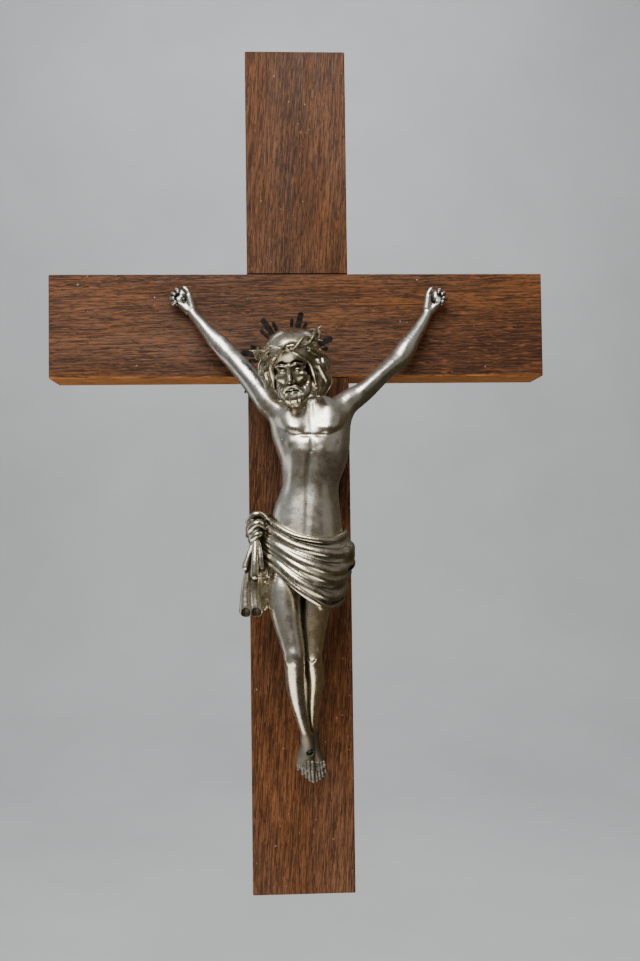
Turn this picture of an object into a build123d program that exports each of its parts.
from build123d import *
import os
from math import cos, pi, sin

# A wall crucifix: two oak beams halved into each other, and a cast corpus nailed on at hands and feet.
# Millimetres. +Z is up and -Y is the front. The backs of the beams lie in Y = 0, and the origin is the
# centre of the crossing on that back face. Left and right are the viewer's.

# Beams
upright_width = 60.0
upright_height = 500.0
upright_rise = 166.0
crossbeam_length = 294.0
crossbeam_height = 62.0
beam_thickness = 30.0
edge_round = 0.8
lap_gap = 0.5
lap_depth_share = 0.5

# Fits
pin_clearance = 0.05
seat_clearance = 0.2
cut_overrun = 3.0

# Screws behind the crossing
lap_screw_radius = 2.0
lap_screw_head_radius = 4.0
lap_screw_sink = 0.4
lap_screw_length = 25.0
lap_screw_spacing = 34.0

# Hanger in the upright's back
hanger_drop = 62.0
ring_radius = 9.0
ring_wire_radius = 1.2
staple_wire_radius = 0.8
staple_play = 0.3
staple_leg_depth = 11.0
staple_sink = 0.5
pocket_floor_room = 1.7
pocket_margin = 2.0

# Nails and dowels
hand_nail_radius = 1.0
hand_nail_head_radius = 1.7
hand_nail_head_height = 1.0
hand_nail_grip = 12.0
foot_nail_radius = 1.2
foot_nail_head_radius = 2.2
foot_nail_head_height = 1.4
foot_nail_grip = 16.0
side_nail_radius = 0.6
side_nail_head_radius = 1.3
side_nail_head_height = 0.8
side_nail_grip = 10.0
side_nail_stand_off = 1.8
side_nail_drop = 6.5
shoulder_pin_radius = 1.6
shoulder_pin_length = 12.0
neck_spigot_radius = 3.0
neck_spigot_length = 6.0

# Nimbus
nimbus_thickness = 1.6
nimbus_hub_radius = 12.0
nimbus_reach = 27.5
nimbus_side_reach = 23.0
nimbus_groups = 4
nimbus_group_angle = 49.0
nimbus_fan_angle = 10.5
nimbus_ray_width = 3.3
nimbus_side_ray_width = 2.0
nimbus_screw_radius = 1.1
nimbus_screw_head_radius = 2.4
nimbus_screw_head_height = 1.2
nimbus_screw_grip = 8.0

# Crown of thorns
crown_wire_radius = 0.9
crown_wave = 2.1
crown_weave = 0.7
crown_waves = 6
crown_steps = 24
crown_tilt = 10.0
thorn_length = 3.2
thorn_radius = 0.6
thorn_tip_radius = 0.15

# Corpus: its height from fingertips to toes, and how far right of the upright's middle it hangs
figure_height = 290.0
figure_offset = 6.0

# Stations of the figure in shares of its height: side, height, depth in front of the wood,
# half width and half depth of the section there
torso_shares = (
    (-0.0138, -0.1517, 0.1069, 0.0297, 0.0262),
    (-0.0055, -0.1638, 0.0966, 0.0569, 0.0324),
    (-0.0014, -0.1793, 0.0914, 0.0752, 0.0407),
    (0.0000, -0.2034, 0.0903, 0.0800, 0.0503),
    (0.0000, -0.2310, 0.0910, 0.0786, 0.0545),
    (0.0034, -0.2621, 0.0910, 0.0724, 0.0538),
    (0.0041, -0.2931, 0.0897, 0.0641, 0.0497),
    (-0.0021, -0.3310, 0.0897, 0.0562, 0.0428),
    (-0.0090, -0.3724, 0.0931, 0.0641, 0.0462),
    (-0.0124, -0.4172, 0.0966, 0.0717, 0.0517),
    (-0.0155, -0.4621, 0.1000, 0.0710, 0.0517),
    (-0.0172, -0.5069, 0.1069, 0.0517, 0.0414),
)
left_leg_shares = (
    (-0.0483, -0.4690, 0.1034, 0.0241, 0.0241),
    (-0.0545, -0.5172, 0.1138, 0.0352, 0.0352),
    (-0.0545, -0.5586, 0.1207, 0.0317, 0.0317),
    (-0.0500, -0.5966, 0.1293, 0.0283, 0.0283),
    (-0.0424, -0.6310, 0.1362, 0.0238, 0.0238),
    (-0.0376, -0.6552, 0.1379, 0.0203, 0.0203),
    (-0.0359, -0.7069, 0.1172, 0.0179, 0.0179),
    (-0.0317, -0.7483, 0.1000, 0.0159, 0.0159),
    (-0.0234, -0.7862, 0.0793, 0.0128, 0.0128),
    (-0.0145, -0.8207, 0.0600, 0.0107, 0.0107),
    (-0.0121, -0.8379, 0.0538, 0.0138, 0.0114),
    (-0.0124, -0.8621, 0.0469, 0.0169, 0.0110),
    (-0.0166, -0.8897, 0.0386, 0.0193, 0.0093),
    (-0.0179, -0.9000, 0.0352, 0.0193, 0.0083),
)
right_leg_shares = (
    (0.0121, -0.4690, 0.0966, 0.0241, 0.0241),
    (0.0097, -0.5172, 0.1034, 0.0338, 0.0338),
    (0.0055, -0.5586, 0.1069, 0.0300, 0.0300),
    (0.0014, -0.5931, 0.1110, 0.0269, 0.0269),
    (-0.0014, -0.6276, 0.1124, 0.0224, 0.0224),
    (-0.0024, -0.6569, 0.1083, 0.0183, 0.0183),
    (0.0021, -0.7103, 0.0828, 0.0183, 0.0183),
    (0.0000, -0.7500, 0.0638, 0.0155, 0.0155),
    (-0.0024, -0.7862, 0.0476, 0.0134, 0.0134),
    (-0.0028, -0.8207, 0.0345, 0.0110, 0.0110),
    (0.0000, -0.8414, 0.0283, 0.0134, 0.0110),
    (0.0052, -0.8655, 0.0214, 0.0159, 0.0097),
    (0.0110, -0.8914, 0.0166, 0.0176, 0.0086),
    (0.0131, -0.9034, 0.0138, 0.0176, 0.0076),
)
left_shoulder_shares = (
    (-0.0276, -0.2069, 0.0897, 0.0207, 0.0207),
    (-0.0621, -0.1834, 0.0862, 0.0262, 0.0262),
    (-0.0845, -0.1648, 0.0828, 0.0241, 0.0241),
)
right_shoulder_shares = (
    (0.0276, -0.2069, 0.0897, 0.0207, 0.0207),
    (0.0552, -0.1862, 0.0862, 0.0262, 0.0262),
    (0.0752, -0.1669, 0.0828, 0.0241, 0.0241),
)
left_arm_shares = (
    (-0.0845, -0.1648, 0.0828, 0.0241, 0.0241),
    (-0.1134, -0.1276, 0.0724, 0.0207, 0.0207),
    (-0.1421, -0.0910, 0.0603, 0.0207, 0.0207),
    (-0.1669, -0.0624, 0.0500, 0.0186, 0.0179),
    (-0.1931, -0.0307, 0.0397, 0.0155, 0.0152),
    (-0.2138, -0.0034, 0.0310, 0.0121, 0.0117),
    (-0.2286, 0.0145, 0.0241, 0.0097, 0.0090),
    (-0.2362, 0.0259, 0.0193, 0.0128, 0.0090),
    (-0.2466, 0.0414, 0.0145, 0.0169, 0.0100),
    (-0.2569, 0.0569, 0.0117, 0.0172, 0.0093),
    (-0.2638, 0.0672, 0.0110, 0.0166, 0.0086),
)
right_arm_shares = (
    (0.0752, -0.1669, 0.0828, 0.0241, 0.0241),
    (0.1114, -0.1393, 0.0724, 0.0193, 0.0193),
    (0.1483, -0.1041, 0.0603, 0.0169, 0.0169),
    (0.1810, -0.0734, 0.0500, 0.0183, 0.0176),
    (0.2072, -0.0393, 0.0397, 0.0169, 0.0159),
    (0.2259, -0.0121, 0.0310, 0.0131, 0.0121),
    (0.2383, 0.0093, 0.0241, 0.0103, 0.0093),
    (0.2448, 0.0224, 0.0193, 0.0128, 0.0090),
    (0.2534, 0.0379, 0.0145, 0.0169, 0.0100),
    (0.2621, 0.0545, 0.0117, 0.0172, 0.0093),
    (0.2672, 0.0648, 0.0110, 0.0166, 0.0086),
)
neck_shares = (
    (-0.0138, -0.1517, 0.1069, 0.0297, 0.0262),
    (-0.0166, -0.1414, 0.1121, 0.0245, 0.0245),
    (-0.0224, -0.1276, 0.1207, 0.0248, 0.0248),
    (-0.0310, -0.1034, 0.1379, 0.0241, 0.0241),
)

# Fingers run along the hand and curl forward; the thumb also stands off across the palm
finger_count = 4
finger_pitch_share = 0.0074
finger_path_shares = (
    (-0.0103, 0.0000, 0.0034),
    (0.0083, 0.0021, 0.0034),
    (0.0159, 0.0090, 0.0033),
    (0.0131, 0.0169, 0.0021),
)
thumb_path_shares = (
    (0.0090, -0.0034, 0.0017, 0.0052),
    (0.0193, 0.0103, 0.0090, 0.0047),
    (0.0186, 0.0276, 0.0152, 0.0024),
)

# Toes: along the foot, forward, and the radius as a share of the room for one toe
toe_count = 5
toe_margin_share = 0.0024
toe_path_shares = (
    (-0.0069, 0.0000, 0.46),
    (0.0095, 0.0010, 0.46),
    (0.0159, -0.0017, 0.23),
)
toe_shortening_share = 0.1

# Where the nails' heads seat
left_nail_shares = (-0.2524, 0.0507, 0.0172)
right_nail_shares = (0.2600, 0.0479, 0.0172)
foot_nail_shares = (-0.0083, -0.8517, 0.0552)

# Head: lean to the left, nod and turn in degrees, then stations up its own axis:
# height, set back, half depth and half width
head_lean = 9.0
head_nod = 17.0
head_turn = 14.0
head_centre_shares = (-0.0362, -0.0900, 0.1517)
head_shares = (
    (-0.1034, -0.0328, 0.0090, 0.0083),
    (-0.0897, -0.0310, 0.0179, 0.0172),
    (-0.0655, -0.0276, 0.0269, 0.0262),
    (-0.0379, -0.0145, 0.0434, 0.0366),
    (-0.0138, -0.0055, 0.0524, 0.0469),
    (0.0103, 0.0000, 0.0566, 0.0545),
    (0.0310, 0.0021, 0.0531, 0.0517),
    (0.0466, 0.0028, 0.0400, 0.0386),
    (0.0559, 0.0028, 0.0172, 0.0166),
)
# Round forms on the head: side, set back, height and radius
right_hair_shares = (
    (0.0310, 0.0103, 0.0138, 0.0155),
    (0.0524, 0.0069, -0.0241, 0.0207),
    (0.0593, 0.0000, -0.0552, 0.0186),
    (0.0448, -0.0052, -0.0845, 0.0090),
)
left_hair_shares = (
    (-0.0310, 0.0103, 0.0138, 0.0155),
    (-0.0469, 0.0034, -0.0276, 0.0186),
    (-0.0434, -0.0034, -0.0552, 0.0166),
    (-0.0297, -0.0103, -0.0793, 0.0083),
)
nose_shares = (
    (0.0000, -0.0483, -0.0138, 0.0045),
    (0.0000, -0.0572, -0.0362, 0.0079),
    (0.0000, -0.0448, -0.0462, 0.0041),
)
nimbus_centre_shares = (-0.0410, -0.0835, 0.1000)
crown_height_share = 0.0276
crown_half_width_share = 0.0628
crown_half_depth_share = 0.0634

# Loincloth: sloping sections that swell and draw in as its folds do, and the hollow for the hips
cloth_shares = (
    (-0.0121, -0.3914, 0.0966, 0.0793, 0.0586),
    (-0.0124, -0.4086, 0.0979, 0.0848, 0.0621),
    (-0.0128, -0.4207, 0.0993, 0.0848, 0.0614),
    (-0.0117, -0.4397, 0.1007, 0.0931, 0.0669),
    (-0.0110, -0.4534, 0.1028, 0.0917, 0.0655),
    (-0.0138, -0.4724, 0.1048, 0.0931, 0.0703),
    (-0.0148, -0.4862, 0.1069, 0.0897, 0.0683),
    (-0.0186, -0.5052, 0.1097, 0.0890, 0.0697),
    (-0.0200, -0.5190, 0.1117, 0.0855, 0.0648),
    (-0.0224, -0.5345, 0.1138, 0.0824, 0.0621),
)
cloth_slopes = (11.0, 12.0, 13.0, 14.0, 15.5, 17.0, 19.0, 21.0, 23.5, 26.0)
hollow_shares = (
    (-0.0103, -0.3828, 0.0938, 0.0710, 0.0528),
    (-0.0103, -0.3914, 0.0943, 0.0721, 0.0533),
    (-0.0117, -0.4276, 0.1000, 0.0779, 0.0559),
    (-0.0138, -0.4724, 0.1069, 0.0814, 0.0579),
    (-0.0186, -0.5103, 0.1117, 0.0800, 0.0531),
    (-0.0234, -0.5345, 0.1138, 0.0766, 0.0490),
    (-0.0255, -0.5466, 0.1152, 0.0752, 0.0469),
)
hollow_slopes = (10.0, 11.0, 13.0, 17.0, 22.0, 26.0, 27.0)
knot_shares = (
    (-0.1079, -0.3862, 0.1131, 0.0076, 0.0069),
    (-0.1083, -0.3966, 0.1134, 0.0159, 0.0141),
    (-0.1083, -0.4121, 0.1138, 0.0207, 0.0179),
    (-0.1090, -0.4269, 0.1152, 0.0176, 0.0155),
    (-0.1097, -0.4379, 0.1169, 0.0097, 0.0090),
)
tail_shares = (
    (-0.1097, -0.4241, 0.1241, 0.0103, 0.0103),
    (-0.1152, -0.4621, 0.1262, 0.0162, 0.0124),
    (-0.1197, -0.5103, 0.1255, 0.0217, 0.0145),
    (-0.1176, -0.5517, 0.1241, 0.0255, 0.0159),
    (-0.1166, -0.5845, 0.1241, 0.0255, 0.0152),
)
lappet_shares = (
    (-0.1110, -0.4241, 0.1345, 0.0090, 0.0090),
    (-0.1162, -0.4621, 0.1414, 0.0193, 0.0103),
    (-0.1183, -0.5052, 0.1434, 0.0248, 0.0097),
)

into_wood = Vector(0, 1, 0)
forward = Vector(0, -1, 0)
downward = Vector(0, 0, -1)


def figure_point(side_share, height_share, depth_share):
    """A point of the corpus, from shares of its height."""
    side = figure_offset + side_share * figure_height
    depth = -beam_thickness - depth_share * figure_height
    return Vector(side, depth, height_share * figure_height)


def heading(points, index):
    """The direction of a line of points at one of them."""
    before = points[max(index - 1, 0)]
    after = points[min(index + 1, len(points) - 1)]
    return (after - before).normalized()


def section(centre, along, half_width, half_depth):
    """An ellipse square to a direction, with its width across the front view."""
    across = along.cross(into_wood).normalized()
    return Plane(origin=centre, x_dir=across, z_dir=along) * Ellipse(half_width, half_depth)


def limb(stations, first_heading=None, last_heading=None):
    """A limb lofted through ellipses square to the line of its stations."""
    centres = [figure_point(*station[:3]) for station in stations]
    headings = [heading(centres, index) for index in range(len(centres))]
    headings[0] = first_heading or headings[0]
    headings[-1] = last_heading or headings[-1]
    sections = [
        section(centre, along, station[3] * figure_height, station[4] * figure_height)
        for centre, along, station in zip(centres, headings, stations)
    ]
    return loft(sections)


def trunk(stations):
    """A trunk or neck lofted through level ellipses."""
    sections = [
        section(figure_point(*station[:3]), downward, station[3] * figure_height, station[4] * figure_height)
        for station in stations
    ]
    return loft(sections)


def tube(points, radii):
    """A tapering tube lofted through circles along a line of points."""
    circles = []
    for index, point in enumerate(points):
        along = heading(points, index)
        reference = Vector(1, 0, 0) if abs(along.Z) > abs(along.X) else Vector(0, 0, 1)
        plane = Plane(origin=point, x_dir=along.cross(reference).normalized(), z_dir=along)
        circles.append(plane * Circle(radii[index]))
    return loft(circles)


def rod(start, along, radius, length):
    """A round bar from a point along a direction."""
    return extrude(Plane(origin=start, z_dir=along) * Circle(radius), length)


def nail(place, along, radius, head_radius, head_height, length, clearance=0.0):
    """A round-headed nail or screw: the place is under its head and the shank runs along."""
    shank = rod(place, along, radius + clearance, length + clearance)
    dome_radius = (head_radius ** 2 + head_height ** 2) / (2 * head_height)
    dome = Pos(*(place + along * (dome_radius - head_height))) * Sphere(dome_radius)
    head = dome & rod(place, along * -1, head_radius, head_height)
    return shank + head


def nail_seat(place, head_radius, reach):
    """Room for a nail's head, cut flat at its seat."""
    return rod(place, forward, head_radius + seat_clearance, reach)


lap_depth = beam_thickness * lap_depth_share
hanger_height = upright_rise - hanger_drop
bow_radius = ring_wire_radius + staple_play + staple_wire_radius
hinge_depth = bow_radius + staple_wire_radius + staple_sink
pocket_depth = hinge_depth + ring_wire_radius + pocket_floor_room
hinge_point = Vector(0, -hinge_depth, hanger_height)


def lap_screw_places():
    """Two places on a diagonal of the crossing."""
    half = lap_screw_spacing / 2
    return (Vector(-half, 0, half / 2), Vector(half, 0, -half / 2))


def lap_screw(place, clearance=0.0):
    """A countersunk screw, driven from the back."""
    head_face = place + forward * lap_screw_sink
    head_height = lap_screw_head_radius - lap_screw_radius
    plane = Plane(origin=head_face + forward * (head_height / 2), z_dir=forward)
    head = plane * Cone(lap_screw_head_radius + clearance, lap_screw_radius + clearance, head_height)
    return head + rod(head_face, forward, lap_screw_radius + clearance, lap_screw_length + clearance)


def hanger_pocket():
    """A routed slot with round ends, where the ring can hang down or stand up."""
    half_width = ring_radius + ring_wire_radius + pocket_margin
    half_height = 2 * ring_radius + ring_wire_radius + pocket_margin
    plane = Plane(origin=(0, -pocket_depth, hanger_height), x_dir=(1, 0, 0), z_dir=into_wood)
    outline = SlotOverall(2 * half_height, 2 * half_width, rotation=90)
    return extrude(plane * outline, pocket_depth + cut_overrun)


def staple(clearance=0.0):
    """A wire staple: two legs, one above the other, joined by a round bow."""
    wire = staple_wire_radius + clearance
    rise = Vector(0, 0, bow_radius)
    leg_length = pocket_depth - hinge_depth + staple_leg_depth
    upper_leg = rod(hinge_point + rise, forward, wire, leg_length)
    lower_leg = rod(hinge_point - rise, forward, wire, leg_length)
    bow = Plane(origin=hinge_point, x_dir=into_wood, z_dir=(1, 0, 0)) * Torus(bow_radius, wire)
    half_size = 2 * bow_radius
    bow -= Pos(*(hinge_point + forward * half_size)) * Box(half_size, 2 * half_size, 2 * half_size)
    return bow + upper_leg + lower_leg


def hanger_ring():
    """A wire ring that hangs from the staple."""
    centre = hinge_point + downward * ring_radius
    return Plane(origin=centre, x_dir=(1, 0, 0), z_dir=into_wood) * Torus(ring_radius, ring_wire_radius)


hand_nail_places = (figure_point(*left_nail_shares), figure_point(*right_nail_shares))
foot_nail_place = figure_point(*foot_nail_shares)
side_nail_place = Vector(
    -upright_width / 2 - side_nail_stand_off,
    -beam_thickness / 2,
    -crossbeam_height / 2 - side_nail_drop,
)


def hand_nail(place, clearance=0.0):
    """A nail through a palm into the crossbeam."""
    length = -place.Y - beam_thickness + hand_nail_grip
    return nail(place, into_wood, hand_nail_radius, hand_nail_head_radius, hand_nail_head_height,
                length, clearance)


def foot_nail(clearance=0.0):
    """The nail through both feet into the upright."""
    length = -foot_nail_place.Y - beam_thickness + foot_nail_grip
    return nail(foot_nail_place, into_wood, foot_nail_radius, foot_nail_head_radius, foot_nail_head_height,
                length, clearance)


def side_nail(clearance=0.0):
    """The small nail in the upright's left side."""
    length = side_nail_stand_off + side_nail_grip
    return nail(side_nail_place, Vector(1, 0, 0), side_nail_radius, side_nail_head_radius,
                side_nail_head_height, length, clearance)


def joint_heading(shoulder, stations):
    """The direction of an arm where it meets its shoulder."""
    return (figure_point(*stations[1][:3]) - figure_point(*shoulder[1][:3])).normalized()


def shoulder_pin(shoulder, stations, clearance=0.0):
    """A dowel half in the shoulder and half in the arm."""
    along = joint_heading(shoulder, stations)
    reach = shoulder_pin_length / 2 + clearance
    start = figure_point(*stations[0][:3]) - along * reach
    return rod(start, along, shoulder_pin_radius + clearance, 2 * reach)


def toes(stations, big_toe_side):
    """A row of toes out of the end of a foot, the big toe first."""
    end = figure_point(*stations[-1][:3])
    along = (end - figure_point(*stations[-3][:3])).normalized()
    across = along.cross(into_wood).normalized() * big_toe_side
    room = 2 * (stations[-1][3] - toe_margin_share) * figure_height / toe_count
    row = []
    for index in range(toe_count):
        root = end + across * (room * ((toe_count - 1) / 2 - index))
        reach = (1 - toe_shortening_share * index) * figure_height
        points = [root + along * (path[0] * reach) + forward * (path[1] * reach) for path in toe_path_shares]
        row.append(tube(points, [path[2] * room for path in toe_path_shares]))
    return row


def digits(stations, thumb_side):
    """Four half-closed fingers out of the end of a hand, and a thumb beside the palm."""
    end = figure_point(*stations[-1][:3])
    palm = figure_point(*stations[-3][:3])
    along = (end - palm).normalized()
    across = along.cross(into_wood).normalized() * thumb_side
    group = []
    for index in range(finger_count):
        root = end + across * (finger_pitch_share * figure_height * ((finger_count - 1) / 2 - index))
        points = [
            root + (along * path[0] + forward * path[1]) * figure_height for path in finger_path_shares
        ]
        group.append(tube(points, [path[2] * figure_height for path in finger_path_shares]))
    points = [
        palm + (across * path[0] + along * path[1] + forward * path[2]) * figure_height
        for path in thumb_path_shares
    ]
    group.append(tube(points, [path[3] * figure_height for path in thumb_path_shares]))
    return group


def neck_spigot(clearance=0.0):
    """The round tenon under the head."""
    start = figure_point(*neck_shares[0][:3]) + downward * -neck_spigot_length
    return rod(start, downward, neck_spigot_radius + clearance, 2 * neck_spigot_length + clearance)


def corpus_body():
    """The main casting: trunk, shoulders, legs and feet."""
    body = trunk(torso_shares)
    body += limb(left_leg_shares)
    body += limb(right_leg_shares)
    body += limb(left_shoulder_shares, last_heading=joint_heading(left_shoulder_shares, left_arm_shares))
    body += limb(right_shoulder_shares, last_heading=joint_heading(right_shoulder_shares, right_arm_shares))
    for toe in toes(left_leg_shares, 1) + toes(right_leg_shares, -1):
        body += toe
    body -= shoulder_pin(left_shoulder_shares, left_arm_shares, pin_clearance)
    body -= shoulder_pin(right_shoulder_shares, right_arm_shares, pin_clearance)
    body -= neck_spigot(pin_clearance)
    body -= nail_seat(foot_nail_place, foot_nail_head_radius, foot_nail_grip)
    return body - foot_nail(pin_clearance)


def arm(shoulder, stations, nail_place, thumb_side):
    """An arm with its hand, butted against the shoulder."""
    casting = limb(stations, first_heading=joint_heading(shoulder, stations))
    for digit in digits(stations, thumb_side):
        casting += digit
    casting -= shoulder_pin(shoulder, stations, pin_clearance)
    casting -= nail_seat(nail_place, hand_nail_head_radius, hand_nail_grip)
    return casting - hand_nail(nail_place, pin_clearance)


head_frame = Pos(*figure_point(*head_centre_shares)) * Rot(0, -head_lean, 0) * Rot(head_nod, 0, 0) * Rot(
    0, 0, -head_turn)
nimbus_centre = figure_point(*nimbus_centre_shares)


def head_form(table):
    """A lock of hair or the nose, in the head's own axes."""
    points = [Vector(*row[:3]) * figure_height for row in table]
    return tube(points, [row[3] * figure_height for row in table])


def corpus_head():
    """The head with plain face, hair and beard, on its neck and flat behind for the nimbus."""
    sections = []
    for height, back, half_depth, half_width in head_shares:
        centre = Vector(0, back, height) * figure_height
        plane = Plane(origin=centre, x_dir=into_wood, z_dir=(0, 0, 1))
        sections.append(plane * Ellipse(half_depth * figure_height, half_width * figure_height))
    head = loft(sections)
    for table in (right_hair_shares, left_hair_shares, nose_shares):
        head += head_form(table)
    head = head_frame * head
    head += trunk(neck_shares)
    head += neck_spigot()
    head -= rod(nimbus_centre, into_wood, nimbus_hub_radius, nimbus_hub_radius)
    return head - nimbus_screw(pin_clearance)


def crown_point(angle, turn):
    """A point on the middle of a strand: strands rise and fall, and pass over and under."""
    swing = crown_waves * angle + turn
    shift = crown_weave * cos(swing)
    side = (crown_half_width_share * figure_height + shift) * cos(angle)
    back = (crown_half_depth_share * figure_height + shift) * sin(angle)
    return Vector(side, back, crown_height_share * figure_height + crown_wave * sin(swing))


def half_strand(start_angle, turn):
    """Half a strand, lofted through circles from one side of the head to the other."""
    circles = []
    step = pi / crown_steps
    for index in range(crown_steps + 1):
        angle = start_angle + index * step
        along = (crown_point(angle + step / 2, turn) - crown_point(angle - step / 2, turn)).normalized()
        outward = Vector(cos(angle), sin(angle), 0)
        across = (outward - along * outward.dot(along)).normalized()
        plane = Plane(origin=crown_point(angle, turn), x_dir=across, z_dir=along)
        circles.append(plane * Circle(crown_wire_radius))
    return loft(circles)


def thorn(index):
    """A small cone out of a crest of the crown."""
    angle = pi * (index + 1 / 2) / crown_waves
    lift = 1 if index % 2 == 0 else -1
    outward = Vector(cos(angle), sin(angle), lift / 2).normalized()
    middle = crown_point(angle, 0) + outward * (thorn_length / 2)
    return Plane(origin=middle, z_dir=outward) * Cone(thorn_radius, thorn_tip_radius, thorn_length)


def crown_of_thorns():
    """Two strands that cross over and under round the head, with thorns, open behind for the nimbus."""
    strands = [half_strand(0, turn) + half_strand(pi, turn) for turn in (0, pi)]
    crown = strands[0] + strands[1]
    for index in range(2 * crown_waves):
        crown += thorn(index)
    opening_centre = nimbus_centre + forward * seat_clearance + into_wood * nimbus_reach
    opening = Pos(*opening_centre) * Box(2 * nimbus_reach, 2 * nimbus_reach, 2 * nimbus_reach)
    return head_frame * Rot(0, -crown_tilt, 0) * crown - opening


def nimbus_screw(clearance=0.0):
    """A round-headed screw from behind the nimbus into the head."""
    place = nimbus_centre + into_wood * nimbus_thickness
    return nail(place, forward, nimbus_screw_radius, nimbus_screw_head_radius, nimbus_screw_head_height,
                nimbus_thickness + nimbus_screw_grip, clearance)


def ray(width, reach, angle):
    """One ray with a round end."""
    straight = reach - width / 2
    bar = Pos(straight / 2, 0) * Rectangle(straight, width)
    return Rot(0, 0, angle) * (bar + Pos(straight, 0) * Circle(width / 2))


def nimbus():
    """A hub behind the head with groups of three rays, the middle one longest."""
    outline = Sketch() + Circle(nimbus_hub_radius)
    for index in range(nimbus_groups):
        angle = 90 + head_lean + (index - (nimbus_groups - 1) / 2) * nimbus_group_angle
        outline += ray(nimbus_ray_width, nimbus_reach, angle)
        for turn in (-nimbus_fan_angle, nimbus_fan_angle):
            outline += ray(nimbus_side_ray_width, nimbus_side_reach, angle + turn)
    plane = Plane(origin=nimbus_centre, x_dir=(1, 0, 0), z_dir=forward)
    plate = extrude(plane * outline, -nimbus_thickness)
    return plate - nimbus_screw(pin_clearance)


def sloped_form(stations, slopes):
    """A form lofted through ellipses that slope down to the right."""
    sections = []
    for station, slope in zip(stations, slopes):
        plane = Plane(figure_point(*station[:3])) * Rot(0, slope, 0)
        sections.append(plane * Ellipse(station[3] * figure_height, station[4] * figure_height))
    return loft(sections)


def loincloth():
    """The cloth: a folded shell round the hips, a knot, a hanging tail and a shorter lappet on it."""
    cloth = sloped_form(cloth_shares, cloth_slopes) - sloped_form(hollow_shares, hollow_slopes)
    cloth += limb(knot_shares)
    cloth += limb(tail_shares)
    return cloth + limb(lappet_shares)


def beam(width, height, centre_height):
    """A board with eased edges, its back in Y = 0."""
    board = Pos(0, -beam_thickness / 2, centre_height) * Box(width, beam_thickness, height)
    return fillet(board.edges(), edge_round)


def upright_beam():
    """The upright, halved at the front, with the hanger's pocket and its holes."""
    board = beam(upright_width, upright_height, upright_rise - upright_height / 2)
    cut_depth = lap_depth + cut_overrun
    board -= Pos(0, -beam_thickness + lap_depth - cut_depth / 2, 0) * Box(
        upright_width + 2 * cut_overrun, cut_depth, crossbeam_height + 2 * lap_gap)
    board -= hanger_pocket()
    board -= staple(pin_clearance)
    for place in lap_screw_places():
        board -= lap_screw(place, pin_clearance)
        head_face = place + forward * lap_screw_sink
        board -= rod(head_face, into_wood, lap_screw_head_radius + pin_clearance, cut_overrun)
    board -= foot_nail(pin_clearance)
    return board - side_nail(pin_clearance)


def cross_beam():
    """The crossbeam, halved at the back."""
    board = beam(crossbeam_length, crossbeam_height, 0)
    cut_depth = beam_thickness - lap_depth + cut_overrun
    board -= Pos(0, cut_overrun - cut_depth / 2, 0) * Box(
        upright_width + 2 * lap_gap, cut_depth, crossbeam_height + 2 * cut_overrun)
    for place in lap_screw_places():
        board -= lap_screw(place, pin_clearance)
    for place in hand_nail_places:
        board -= hand_nail(place, pin_clearance)
    return board


nodes = {
    "upright_beam": upright_beam(),
    "cross_beam": cross_beam(),
    "lap_screws": Compound(children=[lap_screw(place) for place in lap_screw_places()]),
    "corpus_body": corpus_body(),
    "corpus_head": corpus_head(),
    "left_arm": arm(left_shoulder_shares, left_arm_shares, hand_nail_places[0], -1),
    "right_arm": arm(right_shoulder_shares, right_arm_shares, hand_nail_places[1], 1),
    "shoulder_pins": Compound(children=[
        shoulder_pin(left_shoulder_shares, left_arm_shares),
        shoulder_pin(right_shoulder_shares, right_arm_shares),
    ]),
    "loincloth": loincloth(),
    "crown_of_thorns": crown_of_thorns(),
    "nimbus": nimbus(),
    "nimbus_screw": nimbus_screw(),
    "hand_nails": Compound(children=[hand_nail(place) for place in hand_nail_places]),
    "foot_nail": foot_nail(),
    "side_nail": side_nail(),
    "hanger_staple": staple(),
    "hanger_ring": hanger_ring(),
}

os.makedirs("parts", exist_ok=True)
for name, shape in nodes.items():
    export_step(shape, "parts/" + name + ".step")
